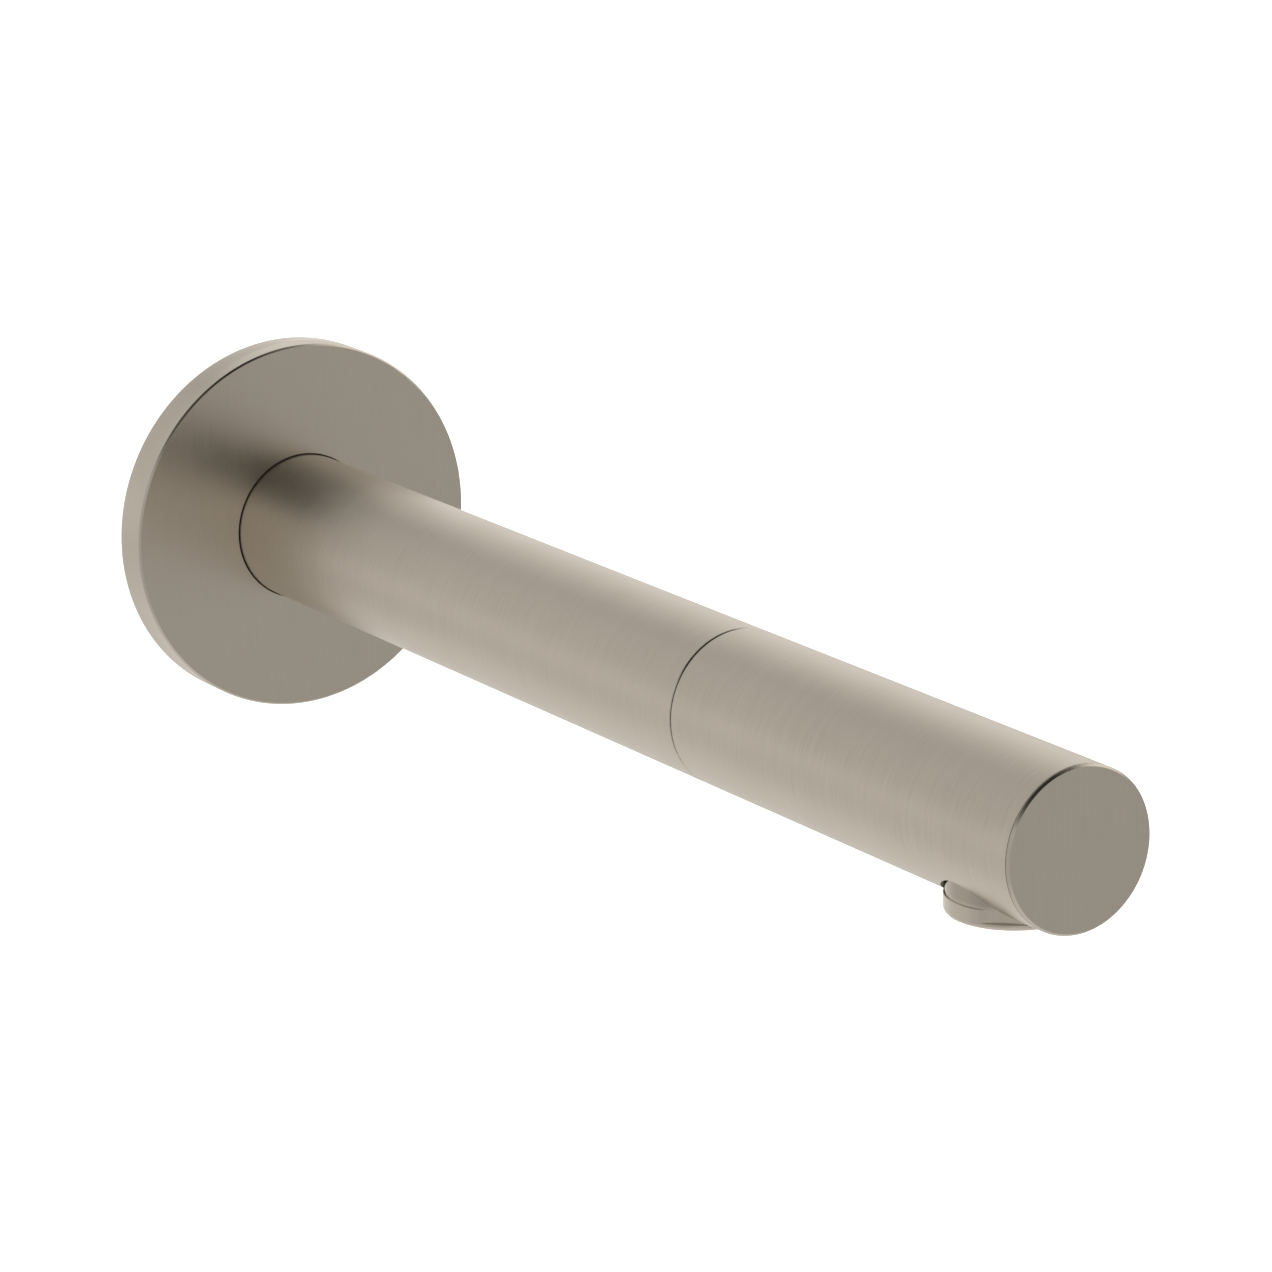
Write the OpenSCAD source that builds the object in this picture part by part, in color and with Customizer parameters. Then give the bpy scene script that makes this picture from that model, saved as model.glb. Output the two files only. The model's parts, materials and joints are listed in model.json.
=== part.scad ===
// Wall mounted bath spout with a turning outlet head.
//
// The wall is the plane y = 0, the spout runs along -Y and +Z is up.
// A "station" is a distance out from the wall, so station s is y = -s.
// The origin is the centre of the wall thread, in the wall plane.
// Two tubes in line form the spout. The rear tube is fixed. The front tube, its end cap
// and the aerator turn a quarter of a turn and close a pair of ceramic discs.

/* [Rosette] */
// Outer diameter of the wall rosette
rosette_d = 63.5; // [62:0.5:80]
// Distance from the wall to the rosette's front face
rosette_depth = 6.8; // [6.8:0.1:8]
// Chamfer around the rosette's front edge
rosette_chamfer = 0.3; // [0.2:0.02:1]

/* [Spout tubes] */
// Outer diameter of both tubes
tube_d = 25; // [25:0.1:26]
// Wall thickness of both tubes
tube_wall = 1.5; // [1.3:0.05:1.5]
// Distance from the wall to the face of the end cap
reach = 230; // [225:1:260]
// Station of the middle of the seam between the two tubes
seam_station = 143.2; // [120:0.1:144]
// Width of the seam
seam_gap = 0.3; // [0.3:0.05:0.5]
// Chamfer around the end cap's face
cap_chamfer = 0.36; // [0.2:0.02:0.4]

/* [Outlet] */
// Distance from the end cap's face back to the middle of the outlet
outlet_setback = 15.8; // [15.6:0.1:18]
// Outer diameter of the aerator's collar
collar_d = 20.1; // [19.8:0.1:20.5]
// Distance from the spout's centre line down to the aerator's mouth
mouth_drop = 13.05; // [12.65:0.05:14]
// Direction of the wrench flat, in degrees from straight ahead
flat_turn = -43; // [-90:1:90]

/* [Wall thread] */
// Outer diameter of the wall thread, G 1/2
thread_d = 20.955; // [20.9:0.005:21]
// Length of the wall thread behind the wall plane
thread_len = 14; // [10:0.5:20]
// Width across flats of the key socket in the nipple
key_af = 10; // [8:1:10]

/* [Hidden] */

$fn = 96;
// How far a cutter runs past the face that it opens
cut = 0.2;
// Gap between flat faces that bear on each other
face_gap = 0.02;
// Radial gap between a bush and the bore that turns on it
running_gap = 0.05;
// Radial gap between pieces that are slid together and stay put
slide_gap = 0.05;
// How far solids of one piece run into each other where they join
overlap = 1;

// Colours
nickel = [0.66, 0.62, 0.56];
brass = [0.78, 0.63, 0.36];
steel = [0.72, 0.72, 0.73];
rubber = [0.09, 0.09, 0.09];
black_acetal = [0.06, 0.06, 0.07];
white_acetal = [0.90, 0.90, 0.88];
ceramic = [0.93, 0.92, 0.88];
grey_acetal = [0.55, 0.56, 0.57];

// Tubes
tube_r = tube_d / 2;
bore_r = tube_r - tube_wall;
tube_back = 1;
rear_tube_front = seam_station - seam_gap / 2;
front_tube_back = seam_station + seam_gap / 2;
cap_rim = 0.45;
cap_joint = 0.12;
front_tube_front = reach - cap_rim - cap_joint;
seam_chamfer = 0.12;
slip_ring_inset = 0.2;
// Counterbores at the ends of the rear tube, and the flanges that they hold
counterbore_r = bore_r + 0.55;
flange_r = counterbore_r - slide_gap;
rear_flange_w = 2;
front_flange_w = 2.4;
// Brass bodies inside the tubes
core_r = bore_r - 0.1;

// Wall nipple
thread_r = thread_d / 2;
thread_lead = 0.8;
nipple_r = 8.5;
nipple_bore_r = 4.8;
nipple_front = 20;
key_depth = 8;
nipple_oring_stations = [5.8, 16.2];
nipple_groove_r = 7;

// Grub screw, M5, that clamps the spout on the nipple from below
grub_station = 11;
grub_r = 2.5;
grub_hole_r = grub_r + 0.2;
grub_key_af = 2.5;
grub_key_depth = 2;
grub_tip_r = 7.75;
grub_head_r = tube_r - 0.3;
relief_w = 5.6;
relief_r = 7.7;

// O-rings
groove_w = 2.4;
oring_slack = 0.02;

// Rosette
rosette_r = rosette_d / 2;
rosette_hole_r = tube_r + 0.25;
rosette_plate = 1.6;
rosette_plate_back = rosette_depth - rosette_plate;
rosette_rim_r = rosette_r - 5.5;
rosette_hub_r = rosette_hole_r + 3.75;
rosette_hub_back = 1.5;
rosette_groove_r = rosette_hole_r + 1.55;
rosette_oring_station = 3.6;
gasket_r_in = rosette_r - 4.5;
gasket_r_out = rosette_r - 1.6;
gasket_depth = 1.2;
gasket_slack = 0.1;

// Tail socket, which takes the nipple at the back and the pipe at the front
socket_r = nipple_r + slide_gap;
socket_stop = nipple_front + 0.6;
socket_front = 32;
pipe_seat = socket_stop + 3.4;

// Waterway
channel_r = 5;
pipe_r_in = 5.5;
pipe_r_out = 7;
pipe_socket_r = pipe_r_out + slide_gap;
pipe_groove_r = 8.5;
pipe_groove_w = 2;
pipe_socket_depth = 8;
pipe_back = pipe_seat + 0.2;

// Valve body, placed from the seam
valve_back = seam_station - 35;
valve_collar_w = 10;
valve_waist_r = 8.6;
valve_front_collar_back = rear_tube_front - front_flange_w - 6.6;
spigot_r = 8.5;
spigot_front = seam_station + 39;
cavity_r = 6.5;
cavity_back = seam_station + 25;
pipe_front = valve_back + pipe_socket_depth - 0.2;

// Stations along the spigot, from the seam
bush_stations = [seam_station + 4.4, seam_station + 34];
bush_w = 4;
bush_groove_r = 7.7;
bush_slot = 0.8;
bush_slot_depth = 2;
stop_station = seam_station + 10.3;
stop_groove_w = 2.4;
stop_groove_r = 7.3;
stop_dog_r = 1;
// Quarter turn, with room for the dog at both ends
head_turn = 90;
stop_margin = 8.5;
head_oring_stations = [seam_station + 15.2, seam_station + 19.2];
head_groove_r = 7;

// Ceramic discs: the windows lie to the left and the right of the axis
seal_w = 1.6;
disc_w = 2.8;
window_r_in = 1.8;
window_r_out = 5.4;
window_half = 35;
fixed_disc_back = cavity_back + seal_w;
fixed_disc_front = fixed_disc_back + disc_w;
moving_disc_back = fixed_disc_front + face_gap;
moving_disc_w = 3.1;
moving_disc_front = moving_disc_back + moving_disc_w;
fixed_disc_r = cavity_r - 0.1;
moving_disc_r = cavity_r - 0.35;
key_w = 1.8;
key_slack = 0.1;
key_r_in = 5.8;
lug_r_in = 5.2;
lug_reach = 1.8;
driver_back = moving_disc_front + face_gap;
driver_proud = 0.7;
driver_front = spigot_front + driver_proud;
blade_w = 2.6;
blade_h = 7;
blade_len = 7;

// Outlet body
body_r = core_r - 0.05;
body_back = front_tube_back + face_gap;
body_front = reach - 5.5;
running_r = spigot_r + 0.3;
body_shoulder = driver_front + face_gap;
outlet_station = reach - outlet_setback;
duct_x = 5;
duct_r = 2.8;
chamber_r = 7.4;
chamber_bottom = -2.9;
chamber_top = 4.5;
screw_r = 1.5;
screw_key_af = 1.5;
screw_key_depth = 1.2;
screw_gap = 0.1;
screw_sink = 0.2;

// Aerator, measured up from its mouth and out from its own axis
collar_r = collar_d / 2;
collar_h = 2.9;
collar_chamfer = 0.6;
collar_clearance = 0.25;
flat_bottom = 0.95;
collar_top = -mouth_drop + collar_h;
flat_distance = 0.933 * collar_r;
neck_r = collar_r - 0.25;
neck_clearance = 0.1;
neck_top = -7.2;
aerator_thread_r = 9.2;
housing_top = -4.05;
aerator_bore_r = 8.3;
aerator_lip_r = 7.8;
aerator_lip_h = 0.6;
tube_hole_r = collar_r + 0.35;
seal_h = 1.05;
seal_r_out = aerator_thread_r - 0.1;
seal_r_in = chamber_r - 0.5;
insert_h = 2.4;
insert_wall = 0.9;
insert_border = 1.5;
cell_pitch = 1.9;
cell_af = 1.55;
jet_disc_bottom = -6.6;
jet_disc_h = 1.2;
jet_hole_r = 0.55;
// Each row of jets: its radius and how many holes it has
jet_rows = [[2.6, 6], [4.8, 12]];
screen_h = 0.5;
screen_pitch = 1.3;
screen_hole_r = 0.45;
screen_border = 1.2;

// End cap
cap_plug_r = bore_r - slide_gap;
cap_plug_back = reach - 5;
cap_hollow_r = 9.5;
cap_face_w = 2;

// ---------------------------------------------------------------- helpers

// Puts local Z along the spout, pointing out from the wall, and local Y up
module out(station) translate([0, -station, 0]) rotate([90, 0, 0]) children();

// Puts local Z upright on the outlet's axis
module at_outlet(z) translate([0, -outlet_station, z]) children();

// A round bar on the spout's axis
module bar(r, from, to) out(from) cylinder(r = r, h = to - from);

// A ring on the spout's axis
module ring(r_in, r_out, from, to)
    out(0) rotate_extrude() translate([r_in, from]) square([r_out - r_in, to - from]);

// A groove cut into a bar of radius r, centred on a station
module groove(r, r_bottom, station, w) ring(r_bottom, r + cut, station - w / 2, station + w / 2);

// An O-ring between a groove's bottom and the wall that faces it
module oring(r_low, r_high, station) out(station) rotate_extrude()
    translate([(r_low + r_high) / 2, 0]) circle(r = (r_high - r_low) / 2 - oring_slack);

// A sector of a ring, centred on +X when turned by 0
module sector(r_in, r_out, half, turn, from, to) out(0) rotate([0, 0, turn - half])
    rotate_extrude(angle = 2 * half) translate([r_in, from]) square([r_out - r_in, to - from]);

// The two windows through a disc or through the driver
module windows(from, to)
    for (turn = [0, 180]) sector(window_r_in, window_r_out, window_half, turn, from - cut, to + cut);

// Two upright keys, above and below the axis
module keys(w, r_in, r_out, from, to)
    for (side = [-1, 1])
        translate([-w / 2, -to, side > 0 ? r_in : -r_out]) cube([w, to - from, r_out - r_in]);

// A hexagonal prism, by its width across flats
module hexagon(af, h) cylinder(r = af / sqrt(3), h = h, $fn = 6);

// Places children on every point of a triangular grid inside a circle
module grid(pitch, r_limit) {
    rows = ceil(r_limit / (pitch * sqrt(3) / 2));
    columns = ceil(r_limit / pitch) + 1;
    for (row = [-rows:rows])
        for (column = [-columns:columns]) {
            x = (column + (row % 2 == 0 ? 0 : 0.5)) * pitch;
            y = row * pitch * sqrt(3) / 2;
            if (norm([x, y]) <= r_limit) translate([x, y, 0]) children();
        }
}

// ------------------------------------------------------- wall connection

// Nipple that screws into the wall, with a smooth spigot for the spout
module wall_nipple() color(brass) difference() {
    union() {
        bar(thread_r, -thread_len, 0);
        out(-thread_len - thread_lead)
            cylinder(r1 = thread_r - thread_lead, r2 = thread_r, h = thread_lead);
        bar(nipple_r, -thread_len / 2, nipple_front);
    }
    bar(nipple_bore_r, -thread_len - thread_lead - cut, nipple_front + cut);
    for (station = nipple_oring_stations) groove(nipple_r, nipple_groove_r, station, groove_w);
    groove(nipple_r, relief_r, grub_station, relief_w);
    out(nipple_front - key_depth) hexagon(key_af, key_depth + cut);
}

module inlet_oring_rear() color(rubber) oring(nipple_groove_r, socket_r, nipple_oring_stations[0]);

module inlet_oring_front() color(rubber) oring(nipple_groove_r, socket_r, nipple_oring_stations[1]);

// Shallow turned cover plate, hollow behind, with a hub that holds an O-ring
module rosette() color(nickel) difference() {
    out(0) rotate_extrude() polygon([
        [rosette_hole_r, rosette_hub_back], [rosette_hub_r, rosette_hub_back],
        [rosette_hub_r, rosette_plate_back], [rosette_rim_r, rosette_plate_back],
        [rosette_rim_r, gasket_slack], [gasket_r_in, gasket_slack],
        [gasket_r_in, gasket_depth], [gasket_r_out, gasket_depth],
        [gasket_r_out, 0], [rosette_r, 0],
        [rosette_r, rosette_depth - rosette_chamfer], [rosette_r - rosette_chamfer, rosette_depth],
        [rosette_hole_r, rosette_depth]
    ]);
    ring(
        rosette_hole_r - cut, rosette_groove_r,
        rosette_oring_station - groove_w / 2, rosette_oring_station + groove_w / 2
    );
}

module rosette_oring() color(rubber) oring(tube_r, rosette_groove_r, rosette_oring_station);

module wall_gasket() color(rubber)
    ring(gasket_r_in + gasket_slack, gasket_r_out - gasket_slack, 0, gasket_depth - face_gap);

// ------------------------------------------------------------ fixed spout

module rear_tube() color(nickel) difference() {
    out(0) rotate_extrude() polygon([
        [counterbore_r, tube_back], [tube_r, tube_back],
        [tube_r, rear_tube_front - seam_chamfer], [tube_r - seam_chamfer, rear_tube_front],
        [counterbore_r, rear_tube_front], [counterbore_r, rear_tube_front - front_flange_w],
        [bore_r, rear_tube_front - front_flange_w], [bore_r, tube_back + rear_flange_w],
        [counterbore_r, tube_back + rear_flange_w]
    ]);
    translate([0, -grub_station, -tube_r - cut]) cylinder(r = grub_hole_r, h = 2 * tube_wall + cut);
}

// Brass socket in the back of the rear tube
module tail_socket() color(brass) difference() {
    union() {
        bar(flange_r, tube_back, tube_back + rear_flange_w - face_gap);
        bar(core_r, tube_back, socket_front);
    }
    bar(socket_r, tube_back - cut, socket_stop);
    bar(channel_r, socket_stop - cut, pipe_seat + cut);
    bar(pipe_socket_r, pipe_seat, socket_front + cut);
    ring(
        pipe_socket_r - cut, pipe_groove_r,
        pipe_seat + pipe_socket_depth / 2 - pipe_groove_w / 2,
        pipe_seat + pipe_socket_depth / 2 + pipe_groove_w / 2
    );
    translate([0, -grub_station, -core_r - cut]) cylinder(r = grub_r, h = core_r - nipple_r + overlap);
}

// Headless screw with a hexagon socket, pointing up from below the tube
module grub_screw() color(steel) translate([0, -grub_station, -grub_head_r]) difference() {
    cylinder(r = grub_r - slide_gap, h = grub_head_r - grub_tip_r);
    translate([0, 0, -cut]) hexagon(grub_key_af, grub_key_depth + cut);
}

module waterway_pipe() color(brass) ring(pipe_r_in, pipe_r_out, pipe_back, pipe_front);

module pipe_oring_rear() color(rubber)
    oring(pipe_r_out, pipe_groove_r, pipe_seat + pipe_socket_depth / 2);

module pipe_oring_front() color(rubber)
    oring(pipe_r_out, pipe_groove_r, valve_back + pipe_socket_depth / 2);

// Brass core of the diverter: collars in the rear tube and a spigot that the head turns on
module valve_body() color(brass) difference() {
    union() {
        bar(core_r, valve_back, valve_back + valve_collar_w);
        bar(valve_waist_r, valve_back + valve_collar_w / 2, rear_tube_front - overlap);
        bar(core_r, valve_front_collar_back, rear_tube_front - overlap);
        bar(flange_r, rear_tube_front - front_flange_w + face_gap, rear_tube_front);
        bar(spigot_r, rear_tube_front - overlap, spigot_front);
    }
    bar(pipe_socket_r, valve_back - cut, valve_back + pipe_socket_depth);
    ring(
        pipe_socket_r - cut, pipe_groove_r,
        valve_back + pipe_socket_depth / 2 - pipe_groove_w / 2,
        valve_back + pipe_socket_depth / 2 + pipe_groove_w / 2
    );
    bar(channel_r, valve_back + pipe_socket_depth - cut, cavity_back + cut);
    difference() {
        bar(cavity_r, cavity_back, spigot_front + cut);
        keys(key_w, key_r_in + key_slack, cavity_r + cut, fixed_disc_back, fixed_disc_front);
    }
    for (station = bush_stations) groove(spigot_r, bush_groove_r, station, bush_w + 2 * slide_gap);
    for (station = head_oring_stations) groove(spigot_r, head_groove_r, station, groove_w);
    sector(
        stop_groove_r, spigot_r + cut, head_turn / 2 + stop_margin, head_turn / 2,
        stop_station - stop_groove_w / 2, stop_station + stop_groove_w / 2
    );
}

module seat_seal() color(rubber) ring(channel_r, fixed_disc_r, cavity_back, fixed_disc_back);

module fixed_disc() color(ceramic) difference() {
    bar(fixed_disc_r, fixed_disc_back, fixed_disc_front);
    windows(fixed_disc_back, fixed_disc_front);
    keys(key_w + 2 * key_slack, key_r_in, cavity_r, fixed_disc_back - cut, fixed_disc_front + cut);
}

// Split plastic bush that sits in a groove of the spigot
module bearing_bush(station) color(white_acetal) difference() {
    ring(bush_groove_r + slide_gap, running_r - running_gap, station - bush_w / 2, station + bush_w / 2);
    translate([-bush_slot / 2, -station - bush_w, -running_r])
        cube([bush_slot, 2 * bush_w, bush_slot_depth]);
}

module bearing_bush_rear() bearing_bush(bush_stations[0]);

module bearing_bush_front() bearing_bush(bush_stations[1]);

module head_oring_rear() color(rubber) oring(head_groove_r, running_r, head_oring_stations[0]);

module head_oring_front() color(rubber) oring(head_groove_r, running_r, head_oring_stations[1]);

// Thin plastic washer that shows as the dark line of the seam
module slip_ring() color(black_acetal)
    ring(spigot_r + slide_gap, tube_r - slip_ring_inset, rear_tube_front, front_tube_back - face_gap);

// ----------------------------------------------------------- turning head

module front_tube() color(nickel) difference() {
    out(0) rotate_extrude() polygon([
        [bore_r, front_tube_back], [tube_r - seam_chamfer, front_tube_back],
        [tube_r, front_tube_back + seam_chamfer], [tube_r, front_tube_front],
        [bore_r, front_tube_front]
    ]);
    at_outlet(-tube_r - cut) cylinder(r = tube_hole_r, h = tube_r);
}

// Cap with a chamfered face and a hollow plug that is bonded into the front tube
module end_cap() color(nickel) difference() {
    union() {
        out(0) rotate_extrude() polygon([
            [0, reach - cap_rim], [tube_r, reach - cap_rim],
            [tube_r, reach - cap_chamfer], [tube_r - cap_chamfer, reach], [0, reach]
        ]);
        bar(cap_plug_r, cap_plug_back, reach - cap_rim / 2);
    }
    bar(cap_hollow_r, cap_plug_back - cut, reach - cap_face_w);
}

// Brass body of the head: bore for the spigot, two ducts and the outlet chamber
module outlet_body() color(brass) difference() {
    bar(body_r, body_back, body_front);
    bar(running_r, body_back - cut, body_shoulder);
    translate([-blade_w / 2 - slide_gap, -body_shoulder - blade_len - overlap, -blade_h / 2 - slide_gap])
        cube([blade_w + 2 * slide_gap, blade_len + overlap + cut, blade_h + 2 * slide_gap]);
    for (side = [-1, 1])
        translate([side * duct_x, 0, 0]) bar(duct_r, body_shoulder - cut, outlet_station);
    at_outlet(chamber_bottom) cylinder(r = chamber_r, h = chamber_top - chamber_bottom);
    at_outlet(-body_r - cut) {
        cylinder(r = aerator_thread_r + slide_gap, h = body_r + cut + chamber_bottom);
        cylinder(r = neck_r + neck_clearance, h = body_r + cut + neck_top);
        cylinder(r = collar_r + collar_clearance, h = body_r + cut + collar_top + face_gap);
    }
    translate([0, -stop_station, running_r - overlap])
        cylinder(r = screw_r, h = body_r - running_r + 2 * overlap);
}

// Screw with a dog point: it holds the head on and stops it at both ends of the turn
module stop_screw() color(steel) translate([0, -stop_station, 0]) difference() {
    union() {
        translate([0, 0, stop_groove_r + cut])
            cylinder(r = stop_dog_r, h = running_r - stop_groove_r + overlap);
        translate([0, 0, running_r + screw_gap])
            cylinder(r = screw_r - slide_gap, h = body_r - screw_sink - running_r - screw_gap);
    }
    translate([0, 0, body_r - screw_sink - screw_key_depth]) hexagon(screw_key_af, screw_key_depth + cut);
}

module moving_disc() color(ceramic) difference() {
    bar(moving_disc_r, moving_disc_back, moving_disc_front);
    windows(moving_disc_back, moving_disc_front);
    keys(key_w + 2 * key_slack, lug_r_in, cavity_r, moving_disc_back - cut, moving_disc_front + cut);
}

// Plastic coupling: lugs at the back turn the moving disc, the blade fits the outlet body
module disc_driver() color(grey_acetal) union() {
    difference() {
        bar(moving_disc_r, driver_back, driver_front);
        windows(driver_back, driver_front);
    }
    intersection() {
        keys(
            key_w, lug_r_in + key_slack, cavity_r,
            moving_disc_front - lug_reach, driver_back + overlap
        );
        bar(moving_disc_r, moving_disc_front - lug_reach - cut, driver_back + overlap + cut);
    }
    translate([-blade_w / 2, -driver_front - blade_len, -blade_h / 2])
        cube([blade_w, blade_len + overlap, blade_h]);
}

// --------------------------------------------------------------- aerator

// Nickel housing: thread, neck and collar with two wrench flats, and a lip at the mouth
module aerator_housing() color(nickel) at_outlet(0) difference() {
    union() {
        translate([0, 0, -mouth_drop])
            cylinder(r1 = collar_r - collar_chamfer, r2 = collar_r, h = collar_chamfer);
        translate([0, 0, -mouth_drop + collar_chamfer])
            cylinder(r = collar_r, h = collar_h - collar_chamfer);
        translate([0, 0, collar_top - overlap]) cylinder(r = neck_r, h = neck_top - collar_top + overlap);
        translate([0, 0, neck_top - overlap])
            cylinder(r = aerator_thread_r, h = housing_top - neck_top + overlap);
    }
    translate([0, 0, -mouth_drop - cut]) cylinder(r = aerator_lip_r, h = mouth_drop);
    translate([0, 0, -mouth_drop + aerator_lip_h]) cylinder(r = aerator_bore_r, h = mouth_drop);
    for (turn = [0, 180]) rotate([0, 0, flat_turn - 90 + turn])
        translate([flat_distance, -collar_r, -mouth_drop + flat_bottom])
            cube([collar_r, 2 * collar_r, neck_top + mouth_drop - flat_bottom + cut]);
}

module aerator_seal() color(rubber) at_outlet(housing_top + face_gap) difference() {
    cylinder(r = seal_r_out, h = seal_h);
    translate([0, 0, -cut]) cylinder(r = seal_r_in, h = seal_h + 2 * cut);
}

module aerator_screen() color(steel) at_outlet(jet_disc_bottom + jet_disc_h + face_gap) difference() {
    cylinder(r = aerator_bore_r - slide_gap, h = screen_h);
    translate([0, 0, -cut]) grid(screen_pitch, aerator_bore_r - screen_border)
        cylinder(r = screen_hole_r, h = screen_h + 2 * cut);
}

module aerator_jet_disc() color(grey_acetal) at_outlet(jet_disc_bottom) difference() {
    cylinder(r = aerator_bore_r - slide_gap, h = jet_disc_h);
    for (row = jet_rows)
        for (index = [0:row[1] - 1])
            rotate([0, 0, index * 360 / row[1]]) translate([row[0], 0, -cut])
                cylinder(r = jet_hole_r, h = jet_disc_h + 2 * cut);
}

// Honeycomb at the mouth, with a skirt that carries the jet disc
module aerator_insert() color(grey_acetal) at_outlet(-mouth_drop + aerator_lip_h) difference() {
    cylinder(r = aerator_bore_r - slide_gap, h = jet_disc_bottom + mouth_drop - aerator_lip_h);
    translate([0, 0, insert_h]) cylinder(r = aerator_bore_r - insert_wall, h = mouth_drop);
    translate([0, 0, -cut]) grid(cell_pitch, aerator_bore_r - insert_border)
        rotate([0, 0, 30]) hexagon(cell_af, insert_h + 2 * cut);
}

wall_nipple();
inlet_oring_rear();
inlet_oring_front();
rosette();
rosette_oring();
wall_gasket();
rear_tube();
tail_socket();
grub_screw();
waterway_pipe();
pipe_oring_rear();
pipe_oring_front();
valve_body();
seat_seal();
fixed_disc();
bearing_bush_rear();
bearing_bush_front();
head_oring_rear();
head_oring_front();
slip_ring();
front_tube();
end_cap();
outlet_body();
stop_screw();
moving_disc();
disc_driver();
aerator_housing();
aerator_seal();
aerator_screen();
aerator_jet_disc();
aerator_insert();
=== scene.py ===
"""Looks of a wall mounted bath spout: finishes, threads, rounded edges, soft studio light and the camera.

Frame, in metres: the wall is the plane y = 0, the spout runs along -Y and +Z is up.
A "station" is a distance out from the wall, so station s is y = -s. Sizes of pieces are in millimetres.
"""
import json
import math

import bmesh
import bpy
from mathutils import Matrix, Vector


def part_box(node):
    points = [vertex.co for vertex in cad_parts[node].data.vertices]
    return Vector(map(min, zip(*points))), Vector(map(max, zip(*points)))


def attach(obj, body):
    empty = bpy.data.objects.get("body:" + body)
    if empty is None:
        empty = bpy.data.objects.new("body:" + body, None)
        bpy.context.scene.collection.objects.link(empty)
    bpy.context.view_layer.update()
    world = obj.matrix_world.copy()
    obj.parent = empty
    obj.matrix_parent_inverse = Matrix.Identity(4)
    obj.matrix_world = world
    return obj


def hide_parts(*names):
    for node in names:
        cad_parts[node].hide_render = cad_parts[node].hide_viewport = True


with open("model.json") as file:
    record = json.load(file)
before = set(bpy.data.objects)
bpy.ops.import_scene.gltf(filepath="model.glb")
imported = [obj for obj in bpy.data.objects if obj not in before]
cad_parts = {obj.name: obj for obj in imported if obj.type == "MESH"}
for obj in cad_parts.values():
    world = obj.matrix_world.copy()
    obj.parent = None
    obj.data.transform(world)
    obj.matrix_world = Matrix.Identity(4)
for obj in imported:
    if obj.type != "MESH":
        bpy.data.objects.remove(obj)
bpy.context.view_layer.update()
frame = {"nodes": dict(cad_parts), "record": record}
nodes = frame["nodes"]

MM = 0.001

# ------------------------------------------------------------ camera and stage
# The camera, as angles round the object and a distance from the point that it looks at
VIEW_AZIMUTH = -32.08
VIEW_ELEVATION = 15.69
VIEW_ROLL = -0.99
VIEW_DISTANCE = 0.8883
VIEW_AIM = Vector((0, -0.10478, 0))
VIEW_OFFSET = (0.00486, 0.00249)
VIEW_LENS = 159.02
VIEW_SENSOR = 36
VIEW_FAR = 50
FLOOR_Z = -0.3
FLOOR_HALF = 4.0

# -------------------------------------------------------------------- colours
# Linear colours of the bare materials
NICKEL = (0.660, 0.609, 0.526)
BRASS = (0.76, 0.59, 0.31)
BRASS_BLOOM = (0.60, 0.43, 0.22)
STEEL = (0.56, 0.55, 0.53)
# Colour of the painted shade on the collar's neck under the tube, and the most of it that is mixed in
PAINTED_SHADE = (0.22, 0.19, 0.15)
PAINTED_SHADE_SHARE = 0.35
RUBBER = (0.018, 0.018, 0.018)
FOAM = (0.030, 0.030, 0.032)
CERAMIC = (0.80, 0.78, 0.72)
WHITE_ACETAL = (0.76, 0.76, 0.72)
BLACK_ACETAL = (0.012, 0.012, 0.013)
GREY_ACETAL = (0.22, 0.225, 0.23)

# ------------------------------------------------------- sizes, in millimetres
ARC_STEPS = 8
ROUND_STEPS = 240
THREAD_ROW = 0.125
# How far the crest and the root of a thread are cut flat, as a share of its flank
THREAD_FLAT = 0.14
# Points closer than this are one point, and edges that turn by more degrees than this stay sharp
MERGE = 0.0005
SHARP_ANGLE = 34


def low(node):
    """Lowest corner of a CAD node, in millimetres."""
    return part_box(node)[0] / MM


def high(node):
    """Highest corner of a CAD node, in millimetres."""
    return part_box(node)[1] / MM


ROSETTE_R = high("rosette").x
ROSETTE_FRONT = -low("rosette").y
ROSETTE_CHAMFER = 0.30
CHAMFER_EDGE = 0.05
ROSETTE_PLATE_BACK = ROSETTE_FRONT - 1.6
ROSETTE_HOLE_R = 12.75
ROSETTE_MOUTH_R = ROSETTE_HOLE_R - 0.07
# The back lip is a close fit on the tube, so that no light comes through
ROSETTE_LIP_R = ROSETTE_HOLE_R - 0.245
ROSETTE_HUB_R = ROSETTE_HOLE_R + 3.75
ROSETTE_HUB_BACK = 1.5
ORING_GROOVE_R = ROSETTE_HOLE_R + 1.55
ORING_GROOVE_BACK = 2.4
ORING_GROOVE_FRONT = 4.8
# The gasket lies in a groove between the rim and an inner lip
GASKET_R_OUT = ROSETTE_R - 1.6
GASKET_R_IN = ROSETTE_R - 4.5
GASKET_FLOOR = 1.2
INNER_LIP_R = ROSETTE_R - 5.5
INNER_LIP_BACK = 0.1

CAP_R = high("end_cap").x
CAP_FRONT = -low("end_cap").y
CAP_RIM_BACK = CAP_FRONT - 0.45
CAP_CHAMFER = 0.36
CAP_PLUG_R = 10.95
CAP_PLUG_BACK = CAP_FRONT - 5
CAP_HOLLOW_R = 9.5
CAP_HOLLOW_FLOOR = CAP_FRONT - 2.0

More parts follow.
